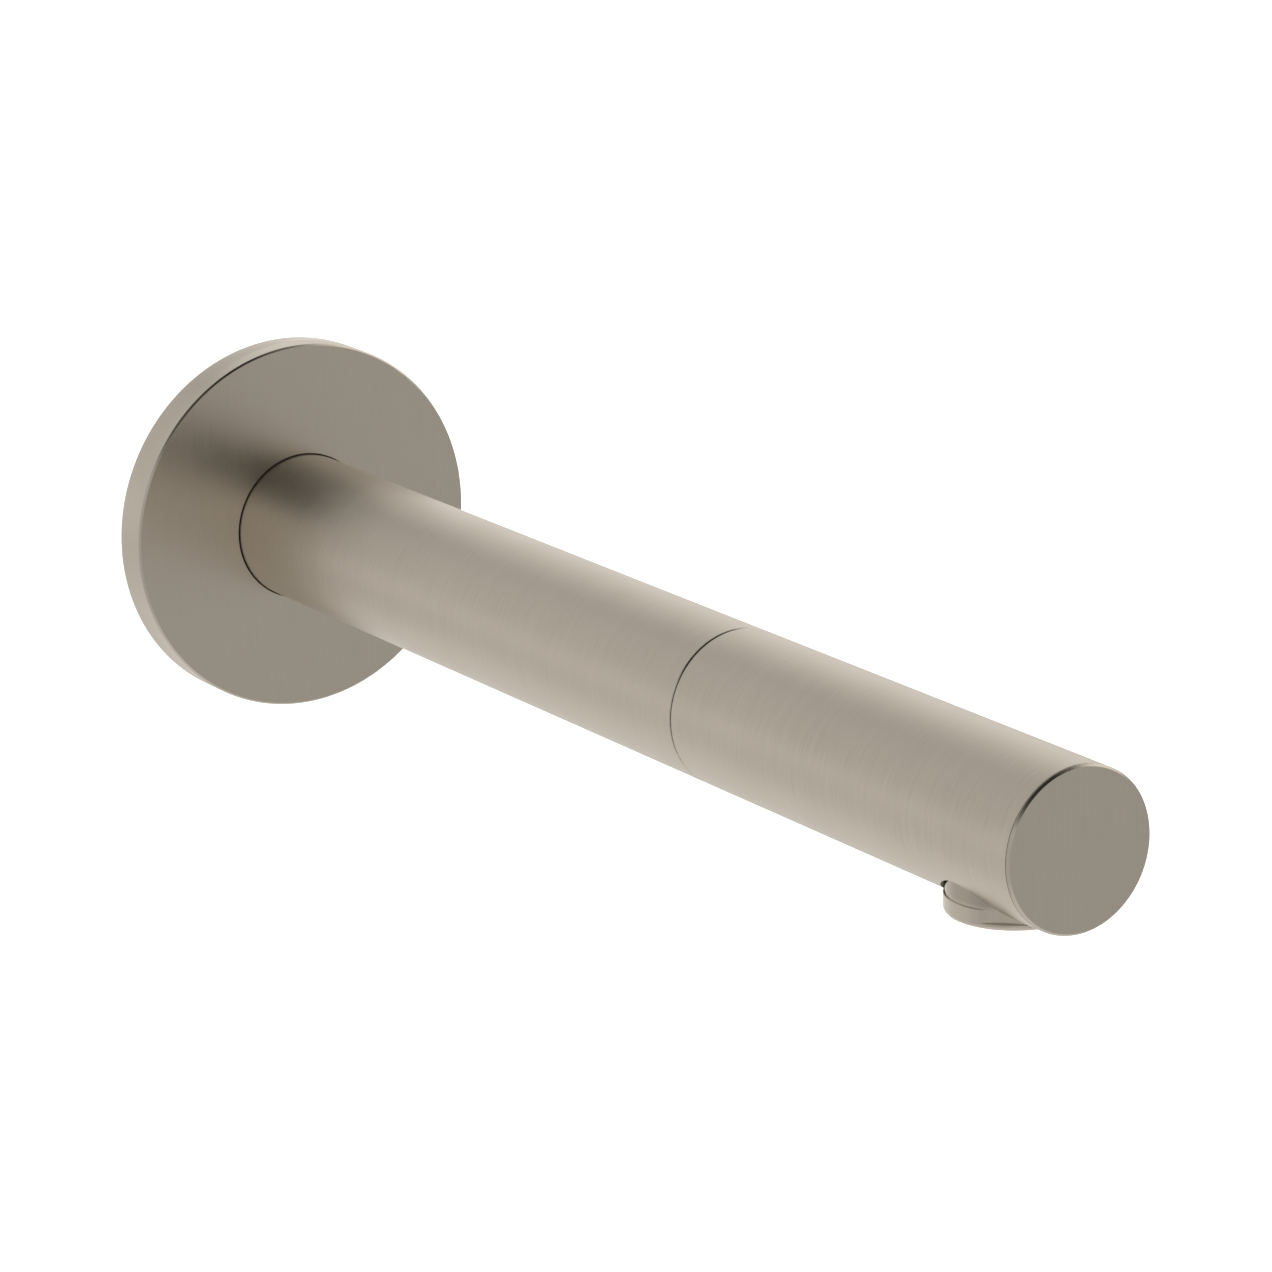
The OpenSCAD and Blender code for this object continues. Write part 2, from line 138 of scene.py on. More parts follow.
OUTLET_STATION = -(low("aerator_housing").y + high("aerator_housing").y) / 2
MOUTH_Z = low("aerator_housing").z
HOUSING_TOP = high("aerator_housing").z
COLLAR_R = high("aerator_housing").x
COLLAR_H = 2.9
COLLAR_EDGE = 0.8
COLLAR_TOP_EDGE = 0.08
NECK_R = COLLAR_R - 0.25
NECK_TOP = -7.2
FLAT_BOTTOM = 0.95
FLAT_DISTANCE = 0.933 * COLLAR_R
FLAT_ANGLE = math.radians(-133)
HOUSING_THREAD_R = 9.2
HOUSING_THREAD_DEPTH = 0.45
HOUSING_PITCH = 1.0
HOUSING_THREAD_LEAD = 0.3
HOUSING_BORE_R = 8.3
MOUTH_R = 7.8
MOUTH_LIP_H = 0.6
MOUTH_EDGE = 0.08

NIPPLE_BACK = -high("wall_nipple").y
NIPPLE_FRONT = -low("wall_nipple").y
NIPPLE_THREAD_R = high("wall_nipple").x
NIPPLE_THREAD_DEPTH = 1.16
NIPPLE_PITCH = 1.814
NIPPLE_THREAD_LEAD = 0.8
NIPPLE_R = 8.5
NIPPLE_BORE_R = 4.8
NIPPLE_KEY = 5.0
NIPPLE_KEY_DEPTH = 8.0
# Grooves as (station, half width, radius of the bottom): an O-ring, the grub screw's seat, an O-ring
NIPPLE_GROOVES = ((5.8, 1.2, 7.0), (11.0, 2.8, 7.7), (16.2, 1.2, 7.0))
NIPPLE_UNDERCUT = 1.3
NIPPLE_END_LENGTH = 0.5
NIPPLE_END_DEPTH = 0.4

# Headless screws: cone at both ends of the thread, thread depth as a share of the pitch, depth of the
# drill's point below the socket, and the small cone at the tip
SCREW_LEAD = 0.25
SCREW_THREAD_SHARE = 0.6
SOCKET_POINT = 0.3
TIP_CONE = 0.1


# ------------------------------------------------------------------ node trees
class Tree:
    """Short calls for making a node tree."""

    def __init__(self, tree):
        self.tree = tree
        self.tree.nodes.clear()

    def node(self, kind, **values):
        made = self.tree.nodes.new(kind)
        for name, value in values.items():
            setattr(made, name, value)
        return made

    def plug(self, socket, value):
        if isinstance(value, bpy.types.NodeSocket):
            self.tree.links.new(value, socket)
        else:
            socket.default_value = value

    def math(self, operation, a, b=0.0, c=0.0):
        made = self.node("ShaderNodeMath", operation=operation)
        for socket, value in zip(made.inputs, (a, b, c)):
            self.plug(socket, value)
        return made.outputs[0]

    def vector(self, operation, a, b=None):
        made = self.node("ShaderNodeVectorMath", operation=operation)
        self.plug(made.inputs[0], a)
        if b is not None:
            self.plug(made.inputs[1], b)
        return made.outputs["Value"] if operation in ("DOT_PRODUCT", "LENGTH") else made.outputs[0]

    def combine(self, x, y, z):
        made = self.node("ShaderNodeCombineXYZ")
        for socket, value in zip(made.inputs, (x, y, z)):
            self.plug(socket, value)
        return made.outputs[0]

    def separate(self, vector):
        made = self.node("ShaderNodeSeparateXYZ")
        self.plug(made.inputs[0], vector)
        return made.outputs

    def remap(self, value, from_low, from_high, to_low=0.0, to_high=1.0, smooth=False):
        made = self.node("ShaderNodeMapRange")
        made.interpolation_type = "SMOOTHSTEP" if smooth else "LINEAR"
        for socket, item in zip(made.inputs, (value, from_low, from_high, to_low, to_high)):
            self.plug(socket, item)
        return made.outputs[0]

    def span(self, noise, to_low, to_high):
        """Values from to_low to to_high, as a noise goes through the levels that it mostly has."""
        return self.remap(noise, NOISE_LOW, NOISE_HIGH, to_low, to_high)

    def noise(self, vector, scale, detail=2.0, roughness=0.5):
        made = self.node("ShaderNodeTexNoise")
        values = {"Vector": vector, "Scale": scale, "Detail": detail, "Roughness": roughness}
        for name, value in values.items():
            self.plug(made.inputs[name], value)
        return made.outputs["Fac"]

    def cells(self, vector, scale):
        made = self.node("ShaderNodeTexVoronoi")
        self.plug(made.inputs["Vector"], vector)
        self.plug(made.inputs["Scale"], scale)
        return made.outputs["Distance"]

    def mix(self, factor, a, b):
        made = self.node("ShaderNodeMix", data_type="RGBA")
        self.plug(made.inputs[0], factor)
        self.plug(made.inputs[6], a)
        self.plug(made.inputs[7], b)
        return made.outputs[2]

    def bump(self, height, strength, distance):
        made = self.node("ShaderNodeBump")
        made.inputs["Strength"].default_value = strength
        made.inputs["Distance"].default_value = distance
        self.plug(made.inputs["Height"], height)
        return made.outputs["Normal"]


def shade_of(colour, share):
    """A colour made lighter or darker, with alpha."""
    return (*[min(1.0, part * share) for part in colour], 1.0)


def new_material(name):
    """A material with an empty Principled shader, its tree, the shader and the object coordinates."""
    material = bpy.data.materials.new(name)
    material.use_nodes = True
    tree = Tree(material.node_tree)
    shader = tree.node("ShaderNodeBsdfPrincipled")
    output = tree.node("ShaderNodeOutputMaterial")
    tree.tree.links.new(shader.outputs[0], output.inputs[0])
    position = tree.node("ShaderNodeTexCoord").outputs["Object"]
    return material, tree, shader, position


# ------------------------------------------------------------------- materials
# Noise levels of the darkest and the palest stroke of brushed metal, and how ragged a stroke is
STROKE_LOW = 0.32
STROKE_HIGH = 0.68
STROKE_RAGGEDNESS = 0.6
# Wide clouds and small smears over the strokes
CLOUD_SCALE = 42.0
CLOUD_SHARE = 0.25
SMEAR_SCALE = 140.0
# How much the strokes, the smears and a polished edge change the roughness
STROKE_ROUGHNESS = 0.035
SMEAR_ROUGHNESS = 0.05
EDGE_SMOOTHNESS = 0.12
# Share of the normal along the spout, from a plain side to an edge and from a plain end to an edge
SIDE_TO_EDGE = (0.10, 0.22)
END_TO_EDGE = (0.98, 0.93)
# Levels that other noise mostly lies between
NOISE_LOW = 0.3
NOISE_HIGH = 0.7
# How deep scratches and fine grain are
SCRATCH_DEPTH = 0.02 * MM


def ring_lines(tree, position, width, length, slope):
    """Lines that run round the spout and climb along it by slope. The seam of the angle is underneath."""
    x, y, z = tree.separate(position)
    angle = tree.math("ARCTAN2", x, z)
    radius = tree.vector("LENGTH", tree.combine(x, 0.0, z))
    arc = tree.math("MULTIPLY", angle, radius)
    climbed = tree.math("MULTIPLY_ADD", arc, slope, y)
    across = tree.math("DIVIDE", climbed, width * MM)
    along = tree.math("DIVIDE", arc, length * MM)
    return tree.noise(tree.combine(across, along, slope), scale=1.0, roughness=STROKE_RAGGEDNESS)


def upright_lines(tree, position, width, length, slope):
    """Lines that run up and down a face and lean by slope."""
    x, y, z = tree.separate(position)
    leaned = tree.math("MULTIPLY_ADD", z, slope, x)
    across = tree.math("DIVIDE", leaned, width * MM)
    along = tree.math("DIVIDE", z, length * MM)
    depth = tree.math("DIVIDE", y, length * MM)
    return tree.noise(tree.combine(across, along, depth), scale=1.0, roughness=STROKE_RAGGEDNESS)


def brushed(name, base, lines, tangent_axis, turn, roughness, aniso, contrast, relief, strokes, painted_shade=None):
    """Brushed metal. strokes is a list of (width, length, slope, share) in millimetres.

    tangent_axis and turn say how the highlight is drawn out, aniso how far. contrast and relief are the tone
    and the depth of the strokes. The last argument is a (from, to) pair of heights in millimetres, over which
    painted shade fades in: the colour darkens upward, standing in for the shade of a recess.
    """
    material, tree, shader, position = new_material(name)
    scratches = 0.0
    for width, length, slope, share in strokes:
        stroke = lines(tree, position, width, length, slope)
        scratches = tree.math("MULTIPLY_ADD", stroke, share, scratches)
    cloud = tree.noise(position, CLOUD_SCALE, detail=3.0)
    smears = tree.noise(position, SMEAR_SCALE)
    even = tree.remap(scratches, STROKE_LOW, STROKE_HIGH)
    tone = tree.math("MULTIPLY_ADD", tree.math("SUBTRACT", cloud, 0.5), CLOUD_SHARE, even)
    shader.inputs["Metallic"].default_value = 1.0
    shader.inputs["Anisotropic"].default_value = aniso
    shader.inputs["Anisotropic Rotation"].default_value = turn
    colour = tree.mix(tone, shade_of(base, 1 - contrast), shade_of(base, 1 + contrast))
    # Painted shade: from the first height upward the colour darkens towards a dark shade colour, standing in
    # for the shade of the recess under the tube
    if painted_shade:
        height = tree.separate(position)[2]
        share = tree.remap(height, painted_shade[0] * MM, painted_shade[1] * MM, 0.0, PAINTED_SHADE_SHARE)
        colour = tree.mix(share, colour, shade_of(PAINTED_SHADE, 1.0))
    tree.plug(shader.inputs["Base Color"], colour)
    smoothest = roughness - STROKE_ROUGHNESS
    roughest = roughness + STROKE_ROUGHNESS
    rough = tree.remap(scratches, STROKE_LOW, STROKE_HIGH, smoothest, roughest)
    rough = tree.math("MULTIPLY_ADD", tree.math("SUBTRACT", smears, 0.5), SMEAR_ROUGHNESS, rough)
    # Edges are polished smoother by the wheel: where the surface faces neither along the spout nor away
    # from its axis
    facing = tree.node("ShaderNodeNewGeometry").outputs["Normal"]
    axial = tree.math("ABSOLUTE", tree.separate(facing)[1])
    edge = tree.math("MULTIPLY", tree.remap(axial, *SIDE_TO_EDGE), tree.remap(axial, *END_TO_EDGE))
    rough = tree.math("MULTIPLY_ADD", edge, -EDGE_SMOOTHNESS, rough)
    tree.plug(shader.inputs["Roughness"], rough)
    tree.plug(shader.inputs["Normal"], tree.bump(scratches, relief, SCRATCH_DEPTH))
    tangent = tree.node("ShaderNodeTangent", direction_type="RADIAL", axis=tangent_axis)
    tree.plug(shader.inputs["Tangent"], tangent.outputs[0])
    return material


def turned_brass():
    """Bare brass off the lathe: close turning lines, and a faint brown bloom."""
    material, tree, shader, position = new_material("turned_brass")
    marks = ring_lines(tree, position, width=0.09, length=40.0, slope=0.004)
    bloom = tree.noise(position, scale=130.0, detail=4.0, roughness=0.6)
    tone = tree.math("MULTIPLY_ADD", tree.math("SUBTRACT", marks, 0.5), 0.5, tree.remap(bloom, 0.35, 0.7))
    tree.plug(shader.inputs["Base Color"], tree.mix(tone, shade_of(BRASS, 1.06), shade_of(BRASS_BLOOM, 1.0)))
    shader.inputs["Metallic"].default_value = 1.0
    tree.plug(shader.inputs["Roughness"], tree.span(bloom, 0.22, 0.38))
    tree.plug(shader.inputs["Normal"], tree.bump(marks, 0.2, SCRATCH_DEPTH))
    return material


def stainless():
    """Stainless steel with a fine tumbled grain."""
    material, tree, shader, position = new_material("stainless")
    grain = tree.noise(position, scale=2600.0, detail=3.0, roughness=0.6)
    patch = tree.noise(position, scale=420.0)
    tree.plug(shader.inputs["Base Color"], tree.mix(patch, shade_of(STEEL, 0.92), shade_of(STEEL, 1.06)))
    shader.inputs["Metallic"].default_value = 1.0
    tree.plug(shader.inputs["Roughness"], tree.span(grain, 0.24, 0.40))
    tree.plug(shader.inputs["Normal"], tree.bump(grain, 0.15, SCRATCH_DEPTH))
    return material


def moulded(name, base, roughness, grain_scale, relief, spread):
    """Moulded rubber or plastic: a fine grain, slow changes of tone and a little wear in the gloss."""
    material, tree, shader, position = new_material(name)
    grain = tree.noise(position, grain_scale, detail=3.0, roughness=0.6)
    slow = tree.noise(position, scale=160.0, detail=3.0)
    tone = tree.math("MULTIPLY_ADD", tree.math("SUBTRACT", grain, 0.5), 0.4, slow)
    colour = tree.mix(tone, shade_of(base, 1 - spread), shade_of(base, 1 + spread))
    tree.plug(shader.inputs["Base Color"], colour)
    tree.plug(shader.inputs["Roughness"], tree.span(slow, roughness - 0.07, roughness + 0.07))
    tree.plug(shader.inputs["Normal"], tree.bump(grain, relief, 0.03 * MM))
    return material


def foam():
    """Closed cell foam: round cells with lighter walls."""
    material, tree, shader, position = new_material("gasket_foam")
    cells = tree.cells(position, scale=1500.0)
    slow = tree.noise(position, scale=200.0, detail=3.0)
    walls = tree.remap(cells, 0.2, 0.7)
    tree.plug(shader.inputs["Base Color"], tree.mix(walls, shade_of(FOAM, 0.6), shade_of(FOAM, 1.5)))
    tree.plug(shader.inputs["Roughness"], tree.span(slow, 0.78, 0.95))
    tree.plug(shader.inputs["Normal"], tree.bump(cells, 0.6, 0.12 * MM))
    return material


def ceramic():
    """Lapped alumina: nearly white, with fine lapping arcs and a soft shine."""
    material, tree, shader, position = new_material("lapped_ceramic")
    speck = tree.noise(position, scale=900.0, detail=4.0, roughness=0.65)
    lapping = tree.noise(position, scale=5200.0)
    tree.plug(shader.inputs["Base Color"], tree.mix(speck, shade_of(CERAMIC, 0.95), shade_of(CERAMIC, 1.05)))
    tree.plug(shader.inputs["Roughness"], tree.span(lapping, 0.14, 0.26))
    tree.plug(shader.inputs["Normal"], tree.bump(lapping, 0.06, 0.01 * MM))
    return material


# Strokes of the brush: width, length, slope and share of the whole
TUBE_STROKES = ((0.16, 9.0, 0.10, 0.38), (0.16, 9.0, -0.13, 0.34), (0.34, 26.0, 0.0, 0.28))
FACE_STROKES = ((0.12, 7.0, 0.01, 0.45), (0.20, 12.0, -0.02, 0.35), (0.45, 18.0, 0.0, 0.20))
tube_nickel = brushed(
    "tube_nickel", NICKEL, ring_lines, tangent_axis="Y", turn=0.25, roughness=0.31, aniso=0.55,
    contrast=0.085, relief=0.20, strokes=TUBE_STROKES,
)
face_nickel = brushed(
    "face_nickel", NICKEL, upright_lines, tangent_axis="Z", turn=0.0, roughness=0.30, aniso=0.60,
    contrast=0.030, relief=0.08, strokes=FACE_STROKES,
)
# The collar is darkened above its ledge by painted shade, standing in for the shade of the neck under the
# tube
LEDGE_PAINTED_SHADE = (MOUTH_Z + COLLAR_H - 0.1, MOUTH_Z + COLLAR_H + 0.7)
collar_nickel_painted_shade = brushed(
    "collar_nickel_painted_shade", NICKEL, upright_lines, tangent_axis="Z", turn=0.0, roughness=0.28, aniso=0.30,
    contrast=0.035, relief=0.08, strokes=FACE_STROKES, painted_shade=LEDGE_PAINTED_SHADE,
)
brass = turned_brass()
steel = stainless()

SLOT_MATERIALS = {
    "brushed_nickel": tube_nickel,
    "raw_brass": brass,
    "stainless": steel,
    "valve_ceramic": ceramic(),
}
# Moulded finishes: slot, colour, roughness, scale of the grain, its relief and how far the tone spreads
for slot, *finish in (
    ("black_rubber", RUBBER, 0.68, 2400.0, 0.25, 0.25),
    ("white_acetal", WHITE_ACETAL, 0.42, 1500.0, 0.08, 0.04),
    ("black_acetal", BLACK_ACETAL, 0.50, 1500.0, 0.10, 0.20),
    ("grey_acetal", GREY_ACETAL, 0.45, 1500.0, 0.10, 0.08),
):
    SLOT_MATERIALS[slot] = moulded(slot, *finish)


def dress(node, material):
    """Gives a CAD node one finish."""
    slots = nodes[node].data.materials
    slots.clear()
    slots.append(material)


for row in frame["record"]["subparts"]:
    dress(row["node"], SLOT_MATERIALS[row["material_slot"]])
dress("wall_gasket", foam())


# --------------------------------------------------------------- turned pieces
def on_spout(x, y, height):
    """A point round the spout's axis, height out from the wall."""
    return Vector((x, -height, y)) * MM


def on_outlet(x, y, height):
    """A point round the outlet's upright axis."""
    return Vector((x, y - OUTLET_STATION, height)) * MM


def even_angles(extra=()):
    """Angles of a full turn, with extra ones where a shape has an upright edge."""
    full = 2 * math.pi
    angles = [full * step / ROUND_STEPS for step in range(ROUND_STEPS)]
    for angle in extra:
        angle %= full
        nearest = min(range(len(angles)), key=lambda index: abs(angles[index] - angle))
        angles[nearest] = angle
    return sorted(angles)


def outline(corners):
    """Rows of an outline from (radius, height, rounding) corners, with an arc at each rounded corner."""
    rows = []
    for index, (radius, height, rounding) in enumerate(corners):
        corner = Vector((radius, height))
        if not rounding:
            rows.append((radius, height))
            continue
        back = (Vector(corners[index - 1][:2]) - corner).normalized()
        ahead = (Vector(corners[(index + 1) % len(corners)][:2]) - corner).normalized()
        half = back.angle(ahead) / 2
        middle = corner + (back + ahead).normalized() * (rounding / math.sin(half))
        start = corner + back * (rounding / math.tan(half)) - middle
        end = corner + ahead * (rounding / math.tan(half)) - middle
        sweep = math.pi - 2 * half
        for step in range(ARC_STEPS + 1):
            part = sweep * step / ARC_STEPS
            arm = (start * math.sin(sweep - part) + end * math.sin(part)) / math.sin(sweep)
            rows.append(tuple(middle + arm))
    return rows


def revolve(name, rows, angles, place):
    """A closed piece made of rows round an axis. A row's radius may be a function of the angle."""
    points = []
    for radius, height in rows:
        for angle in angles:
            r = radius(angle) if callable(radius) else radius
            points.append(place(r * math.cos(angle), r * math.sin(angle), height))
    count = len(angles)
    faces = []
    for row in range(len(rows)):
        here = row * count
        there = (row + 1) % len(rows) * count
        for step in range(count):
            after = (step + 1) % count
            faces.append((here + step, here + after, there + after, there + step))
    mesh = bpy.data.meshes.new(name)
    mesh.from_pydata(points, [], faces)
    clean = bmesh.new()
    clean.from_mesh(mesh)
    bmesh.ops.remove_doubles(clean, verts=clean.verts, dist=MERGE * MM)
    bmesh.ops.dissolve_degenerate(clean, edges=clean.edges, dist=MERGE * MM)
    bmesh.ops.recalc_face_normals(clean, faces=clean.faces)
    clean.to_mesh(mesh)
    clean.free()
    mesh.shade_smooth()
    mesh.set_sharp_from_angle(angle=math.radians(SHARP_ANGLE))
    made = bpy.data.objects.new(name, mesh)
    bpy.context.scene.collection.objects.link(made)
    weighted = made.modifiers.new("weighted", "WEIGHTED_NORMAL")
    weighted.keep_sharp = True
    return made


def fit_out(made, node, body, material):
    """Puts a detailed piece in a CAD node's place, on its body and in its finish."""
    made.data.materials.append(material)
    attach(made, body)
    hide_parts(node)


def hexagon(half_width):
    """Radius of a hexagon at an angle, from half its width across flats."""
    side = math.pi / 3
    return lambda angle: half_width / math.cos((angle % side) - side / 2)


def thread_rows(major, depth, pitch, first, last, lead=0.0):
    """Rows of a screw thread from height first to last, with a cone of length lead at both ends."""
    def radius_at(height):
        room = major
        if lead:
            room = min(major, major - lead + abs(height - first), major - lead + abs(last - height))

        def radius(angle):
            turn = (height / pitch - angle / (2 * math.pi)) % 1.0
            flank = (abs(2 * turn - 1) - THREAD_FLAT) / (1 - 2 * THREAD_FLAT)
            return min(room, major - depth + depth * min(1.0, max(0.0, flank)))
        return radius

    count = max(2, round(abs(last - first) / THREAD_ROW))
    heights = [first + (last - first) * step / count for step in range(count + 1)]
    return [(radius_at(height), height) for height in heights]


def make_rosette():
    """Turned cover plate with a chamfered front edge, hollow behind."""
    corners = (
        (ROSETTE_LIP_R, ROSETTE_HUB_BACK, 0),
        (ROSETTE_HUB_R, ROSETTE_HUB_BACK, 0.2),
        (ROSETTE_HUB_R, ROSETTE_PLATE_BACK, 0.6),
        (INNER_LIP_R, ROSETTE_PLATE_BACK, 0.6),
        (INNER_LIP_R, INNER_LIP_BACK, 0),
        (GASKET_R_IN, INNER_LIP_BACK, 0),
        (GASKET_R_IN, GASKET_FLOOR, 0),
        (GASKET_R_OUT, GASKET_FLOOR, 0),
        (GASKET_R_OUT, 0, 0),
        (ROSETTE_R, 0, 0.12),
        (ROSETTE_R, ROSETTE_FRONT - ROSETTE_CHAMFER, CHAMFER_EDGE),
        (ROSETTE_R - ROSETTE_CHAMFER, ROSETTE_FRONT, CHAMFER_EDGE),
        (ROSETTE_MOUTH_R, ROSETTE_FRONT, CHAMFER_EDGE),
        (ROSETTE_MOUTH_R, ORING_GROOVE_FRONT, 0),
        (ORING_GROOVE_R, ORING_GROOVE_FRONT, 0),
        (ORING_GROOVE_R, ORING_GROOVE_BACK, 0),
        (ROSETTE_LIP_R, ORING_GROOVE_BACK, 0),
    )
    made = revolve("rosette_turned", outline(corners), even_angles(), on_spout)
    fit_out(made, "rosette", "spout_base", face_nickel)


def make_end_cap():
    """Cap with a chamfered face edge and a hollow plug."""
    corners = (
        (0, CAP_FRONT, 0),
        (CAP_R - CAP_CHAMFER, CAP_FRONT, CHAMFER_EDGE),
        (CAP_R, CAP_FRONT - CAP_CHAMFER, 0.03),
        (CAP_R, CAP_RIM_BACK, 0.02),
        (CAP_PLUG_R, CAP_RIM_BACK, 0),
        (CAP_PLUG_R, CAP_PLUG_BACK, 0.3),
        (CAP_HOLLOW_R, CAP_PLUG_BACK, 0.2),
        (CAP_HOLLOW_R, CAP_HOLLOW_FLOOR, 0.6),
        (0, CAP_HOLLOW_FLOOR, 0),
    )
    made = revolve("end_cap_turned", outline(corners), even_angles(), on_spout)
    fit_out(made, "end_cap", "outlet_head", face_nickel)


def make_aerator_housing():
    """Threaded housing with a rounded collar and two wrench flats."""
    collar_top = MOUTH_Z + COLLAR_H

    def flatted(radius):
        """A radius, cut back at the two flats. The least share of 0.5 only avoids a division by zero."""
        def at(angle):
            share = abs(math.cos(angle - FLAT_ANGLE))
            return min(radius, FLAT_DISTANCE / max(share, 0.5))
        return at

    mouth = outline((
        (MOUTH_R, MOUTH_Z + MOUTH_LIP_H, 0),
        (MOUTH_R, MOUTH_Z, MOUTH_EDGE),
        (COLLAR_R, MOUTH_Z, COLLAR_EDGE),
        (COLLAR_R, MOUTH_Z + FLAT_BOTTOM, 0),
    ))
    rows = mouth + [
        (flatted(COLLAR_R), MOUTH_Z + FLAT_BOTTOM),
        (flatted(COLLAR_R), collar_top - COLLAR_TOP_EDGE),
        (flatted(COLLAR_R - COLLAR_TOP_EDGE), collar_top),
        (flatted(NECK_R), collar_top),
        (flatted(NECK_R), NECK_TOP),
    ]
    rows += thread_rows(
        HOUSING_THREAD_R, HOUSING_THREAD_DEPTH, HOUSING_PITCH, NECK_TOP, HOUSING_TOP, HOUSING_THREAD_LEAD,
    )
    rows += [(HOUSING_BORE_R, HOUSING_TOP), (HOUSING_BORE_R, MOUTH_Z + MOUTH_LIP_H)]
    edges = [
        FLAT_ANGLE + turn + side * math.acos(FLAT_DISTANCE / radius)
        for turn in (0, math.pi) for side in (-1, 1) for radius in (COLLAR_R, NECK_R)
    ]
    made = revolve("aerator_housing_turned", rows, even_angles(edges), on_outlet)
    fit_out(made, "aerator_housing", "outlet_head", collar_nickel_painted_shade)


def make_wall_nipple():
    """Nipple with a G 1/2 thread, grooves for its O-rings and a hexagon key socket."""
    rows = thread_rows(
        NIPPLE_THREAD_R, NIPPLE_THREAD_DEPTH, NIPPLE_PITCH, NIPPLE_BACK, -NIPPLE_UNDERCUT, NIPPLE_THREAD_LEAD,
    )
    root = NIPPLE_THREAD_R - NIPPLE_THREAD_DEPTH
    rows += [(root, -NIPPLE_UNDERCUT), (root, 0), (NIPPLE_R, 0)]
    for station, half, bottom in NIPPLE_GROOVES:
        rows += [
            (NIPPLE_R, station - half), (bottom, station - half),
            (bottom, station + half), (NIPPLE_R, station + half),
        ]
    key = hexagon(NIPPLE_KEY)
    key_floor = NIPPLE_FRONT - NIPPLE_KEY_DEPTH
    rows += [
        (NIPPLE_R, NIPPLE_FRONT - NIPPLE_END_LENGTH), (NIPPLE_R - NIPPLE_END_DEPTH, NIPPLE_FRONT),
        (key, NIPPLE_FRONT), (key, key_floor), (NIPPLE_BORE_R, key_floor), (NIPPLE_BORE_R, NIPPLE_BACK),
    ]
    made = revolve("wall_nipple_threaded", rows, even_angles(), on_spout)
    fit_out(made, "wall_nipple", "spout_base", brass)


def make_set_screw(node, body, station, head_z, tip_z, radius, pitch, key, key_depth, dog_r, dog_h):
    """Upright headless screw with a hexagon socket at head_z and a dog or a flat point at tip_z.

    key is half the socket's width across flats.
    """
    up = 1 if tip_z > head_z else -1
    shoulder = tip_z - up * dog_h
    socket = hexagon(key)

    def place(x, y, height):
        return Vector((x, y - station, height)) * MM

    rows = [
        (0, head_z + up * (key_depth + SOCKET_POINT)), (socket, head_z + up * key_depth), (socket, head_z),
    ]
    rows += thread_rows(radius, SCREW_THREAD_SHARE * pitch, pitch, head_z, shoulder, SCREW_LEAD)
    rows += [(dog_r, shoulder), (dog_r, tip_z - up * TIP_CONE), (dog_r - TIP_CONE, tip_z), (0, tip_z)]
    made = revolve(node + "_threaded", rows, even_angles(), place)
    fit_out(made, node, body, steel)


def make_screws():
    """The grub screw below the rosette, and the stop screw inside the head."""
    for node, body, key, key_depth, pitch, dog_r, dog_h, from_below in (
        ("grub_screw", "spout_base", 1.25, 2.0, 0.8, 1.5, 0.2, True),
        ("stop_screw", "outlet_head", 0.75, 1.2, 0.5, 1.0, 1.4, False),
    ):
        bottom, top = low(node), high(node)
        station = -(bottom.y + top.y) / 2
        ends = (bottom.z, top.z) if from_below else (top.z, bottom.z)
        make_set_screw(node, body, station, *ends, top.x, pitch, key, key_depth, dog_r, dog_h)


make_rosette()
make_end_cap()
make_aerator_housing()
make_wall_nipple()
make_screws()


# ---------------------------------------------------------------- stage, light
# Surroundings that metal reflects: a base level, then soft boxes and dark flags, each with the direction
# that it lies in, its half width in degrees and the level that it adds
SKY_BASE = 0.62
SKY_FLOOR = 0.03
SKY_TINT = (1.0, 0.966, 0.935)
SKY_LOBES = (
    # Soft boxes on the wall's side, as the tube shows them
    ((0.52, 0.82, -0.24), 38, 0.10),
    ((0.50, 0.82, 0.29), 34, 0.25),
    ((0.05, 0.82, 0.58), 34, -0.10),
    ((-0.50, 0.82, 0.29), 34, 0.15),
    ((-0.47, 0.82, -0.33), 34, 0.05),
    ((0.05, 0.82, -0.58), 34, 0.15),
    ((-0.75, 0.45, 0.50), 40, -0.25),
    # Pale table below
    ((0.0, 0.0, -1.0), 65, 0.10),
    # Dark flags over the front, with a soft box to their right
    ((0.31, -0.35, 0.89), 34, -0.50),
    ((-0.35, -0.53, 0.75), 40, -0.55),
    ((0.0, -0.80, 0.60), 30, -0.42),
    ((0.80, -0.08, 0.58), 34, 0.44),
    # Dimmer room in front, to the left and to the right
    ((0.51, -0.82, -0.27), 60, -0.16),
    ((-0.90, -0.35, -0.20), 50, -0.11),
    ((0.90, 0.30, -0.30), 40, -0.30),
)


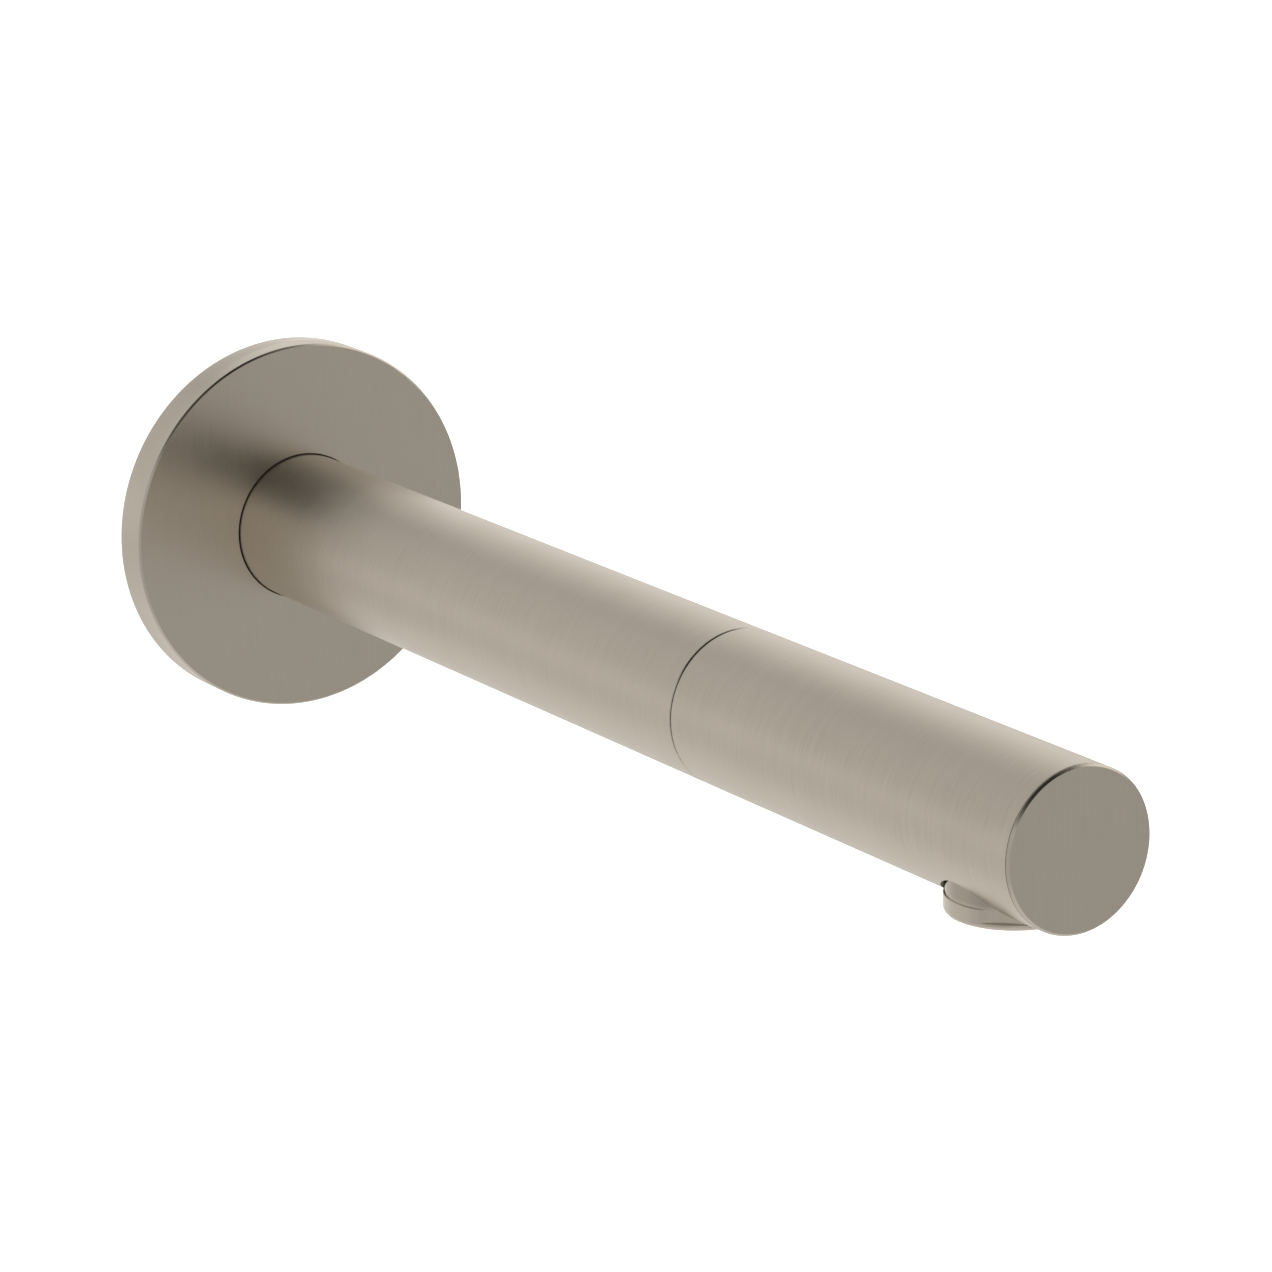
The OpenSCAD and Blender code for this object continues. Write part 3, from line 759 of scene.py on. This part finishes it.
def make_world():
    """Soft studio surroundings. The camera itself sees white."""
    world = bpy.data.worlds.new("studio")
    bpy.context.scene.world = world
    world.use_nodes = True
    tree = Tree(world.node_tree)
    direction = tree.vector("NORMALIZE", tree.node("ShaderNodeTexCoord").outputs["Generated"])
    level = SKY_BASE
    for towards, half_width, added in SKY_LOBES:
        aim = tuple(Vector(towards).normalized())
        dot = tree.vector("DOT_PRODUCT", direction, aim)
        lobe = tree.remap(dot, math.cos(math.radians(half_width)), 1.0, smooth=True)
        level = tree.math("MULTIPLY_ADD", lobe, added, level)
    level = tree.math("MAXIMUM", level, SKY_FLOOR)
    lit = tree.node("ShaderNodeBackground")
    tree.plug(lit.inputs["Color"], tree.combine(*[tree.math("MULTIPLY", level, part) for part in SKY_TINT]))
    seen = tree.node("ShaderNodeBackground")
    seen.inputs["Color"].default_value = (1, 1, 1, 1)
    mixed = tree.node("ShaderNodeMixShader")
    tree.plug(mixed.inputs[0], tree.node("ShaderNodeLightPath").outputs["Is Camera Ray"])
    tree.tree.links.new(lit.outputs[0], mixed.inputs[1])
    tree.tree.links.new(seen.outputs[0], mixed.inputs[2])
    output = tree.node("ShaderNodeOutputWorld")
    tree.tree.links.new(mixed.outputs[0], output.inputs[0])


def make_floor():
    """A plain white floor, well below the spout, that metal doesn't reflect."""
    material, _, shader, _ = new_material("floor_white")
    shader.inputs["Base Color"].default_value = (0.9, 0.9, 0.9, 1)
    shader.inputs["Roughness"].default_value = 1.0
    shader.inputs["Emission Color"].default_value = (1, 1, 1, 1)
    shader.inputs["Emission Strength"].default_value = 1.0
    mesh = bpy.data.meshes.new("floor")
    corners = [(x * FLOOR_HALF, y * FLOOR_HALF, FLOOR_Z) for x, y in ((-1, -1), (1, -1), (1, 1), (-1, 1))]
    mesh.from_pydata(corners, [], [(0, 1, 2, 3)])
    mesh.materials.append(material)
    floor = bpy.data.objects.new("floor", mesh)
    bpy.context.scene.collection.objects.link(floor)
    floor.visible_glossy = False
    floor.visible_diffuse = False


def make_camera():
    """The camera, turned by its azimuth, elevation and roll round the point that it looks at."""
    azimuth = math.radians(VIEW_AZIMUTH)
    elevation = math.radians(VIEW_ELEVATION)
    roll = math.radians(VIEW_ROLL)
    back = Vector((
        math.sin(azimuth) * math.cos(elevation),
        -math.cos(azimuth) * math.cos(elevation),
        math.sin(elevation),
    ))
    level_right = Vector((math.cos(azimuth), math.sin(azimuth), 0))
    level_up = back.cross(level_right)
    right = level_right * math.cos(roll) + level_up * math.sin(roll)
    up = level_up * math.cos(roll) - level_right * math.sin(roll)
    data = bpy.data.cameras.new("camera")
    data.lens = VIEW_LENS
    data.sensor_width = VIEW_SENSOR
    data.clip_end = VIEW_FAR
    camera = bpy.data.objects.new("camera", data)
    bpy.context.scene.collection.objects.link(camera)
    place = VIEW_AIM + right * VIEW_OFFSET[0] + up * VIEW_OFFSET[1] + back * VIEW_DISTANCE
    turn = Matrix((right, up, back)).transposed().to_4x4()
    camera.matrix_world = Matrix.Translation(place) @ turn
    bpy.context.scene.camera = camera


make_world()
make_floor()
make_camera()
bpy.context.scene.view_settings.view_transform = "Standard"
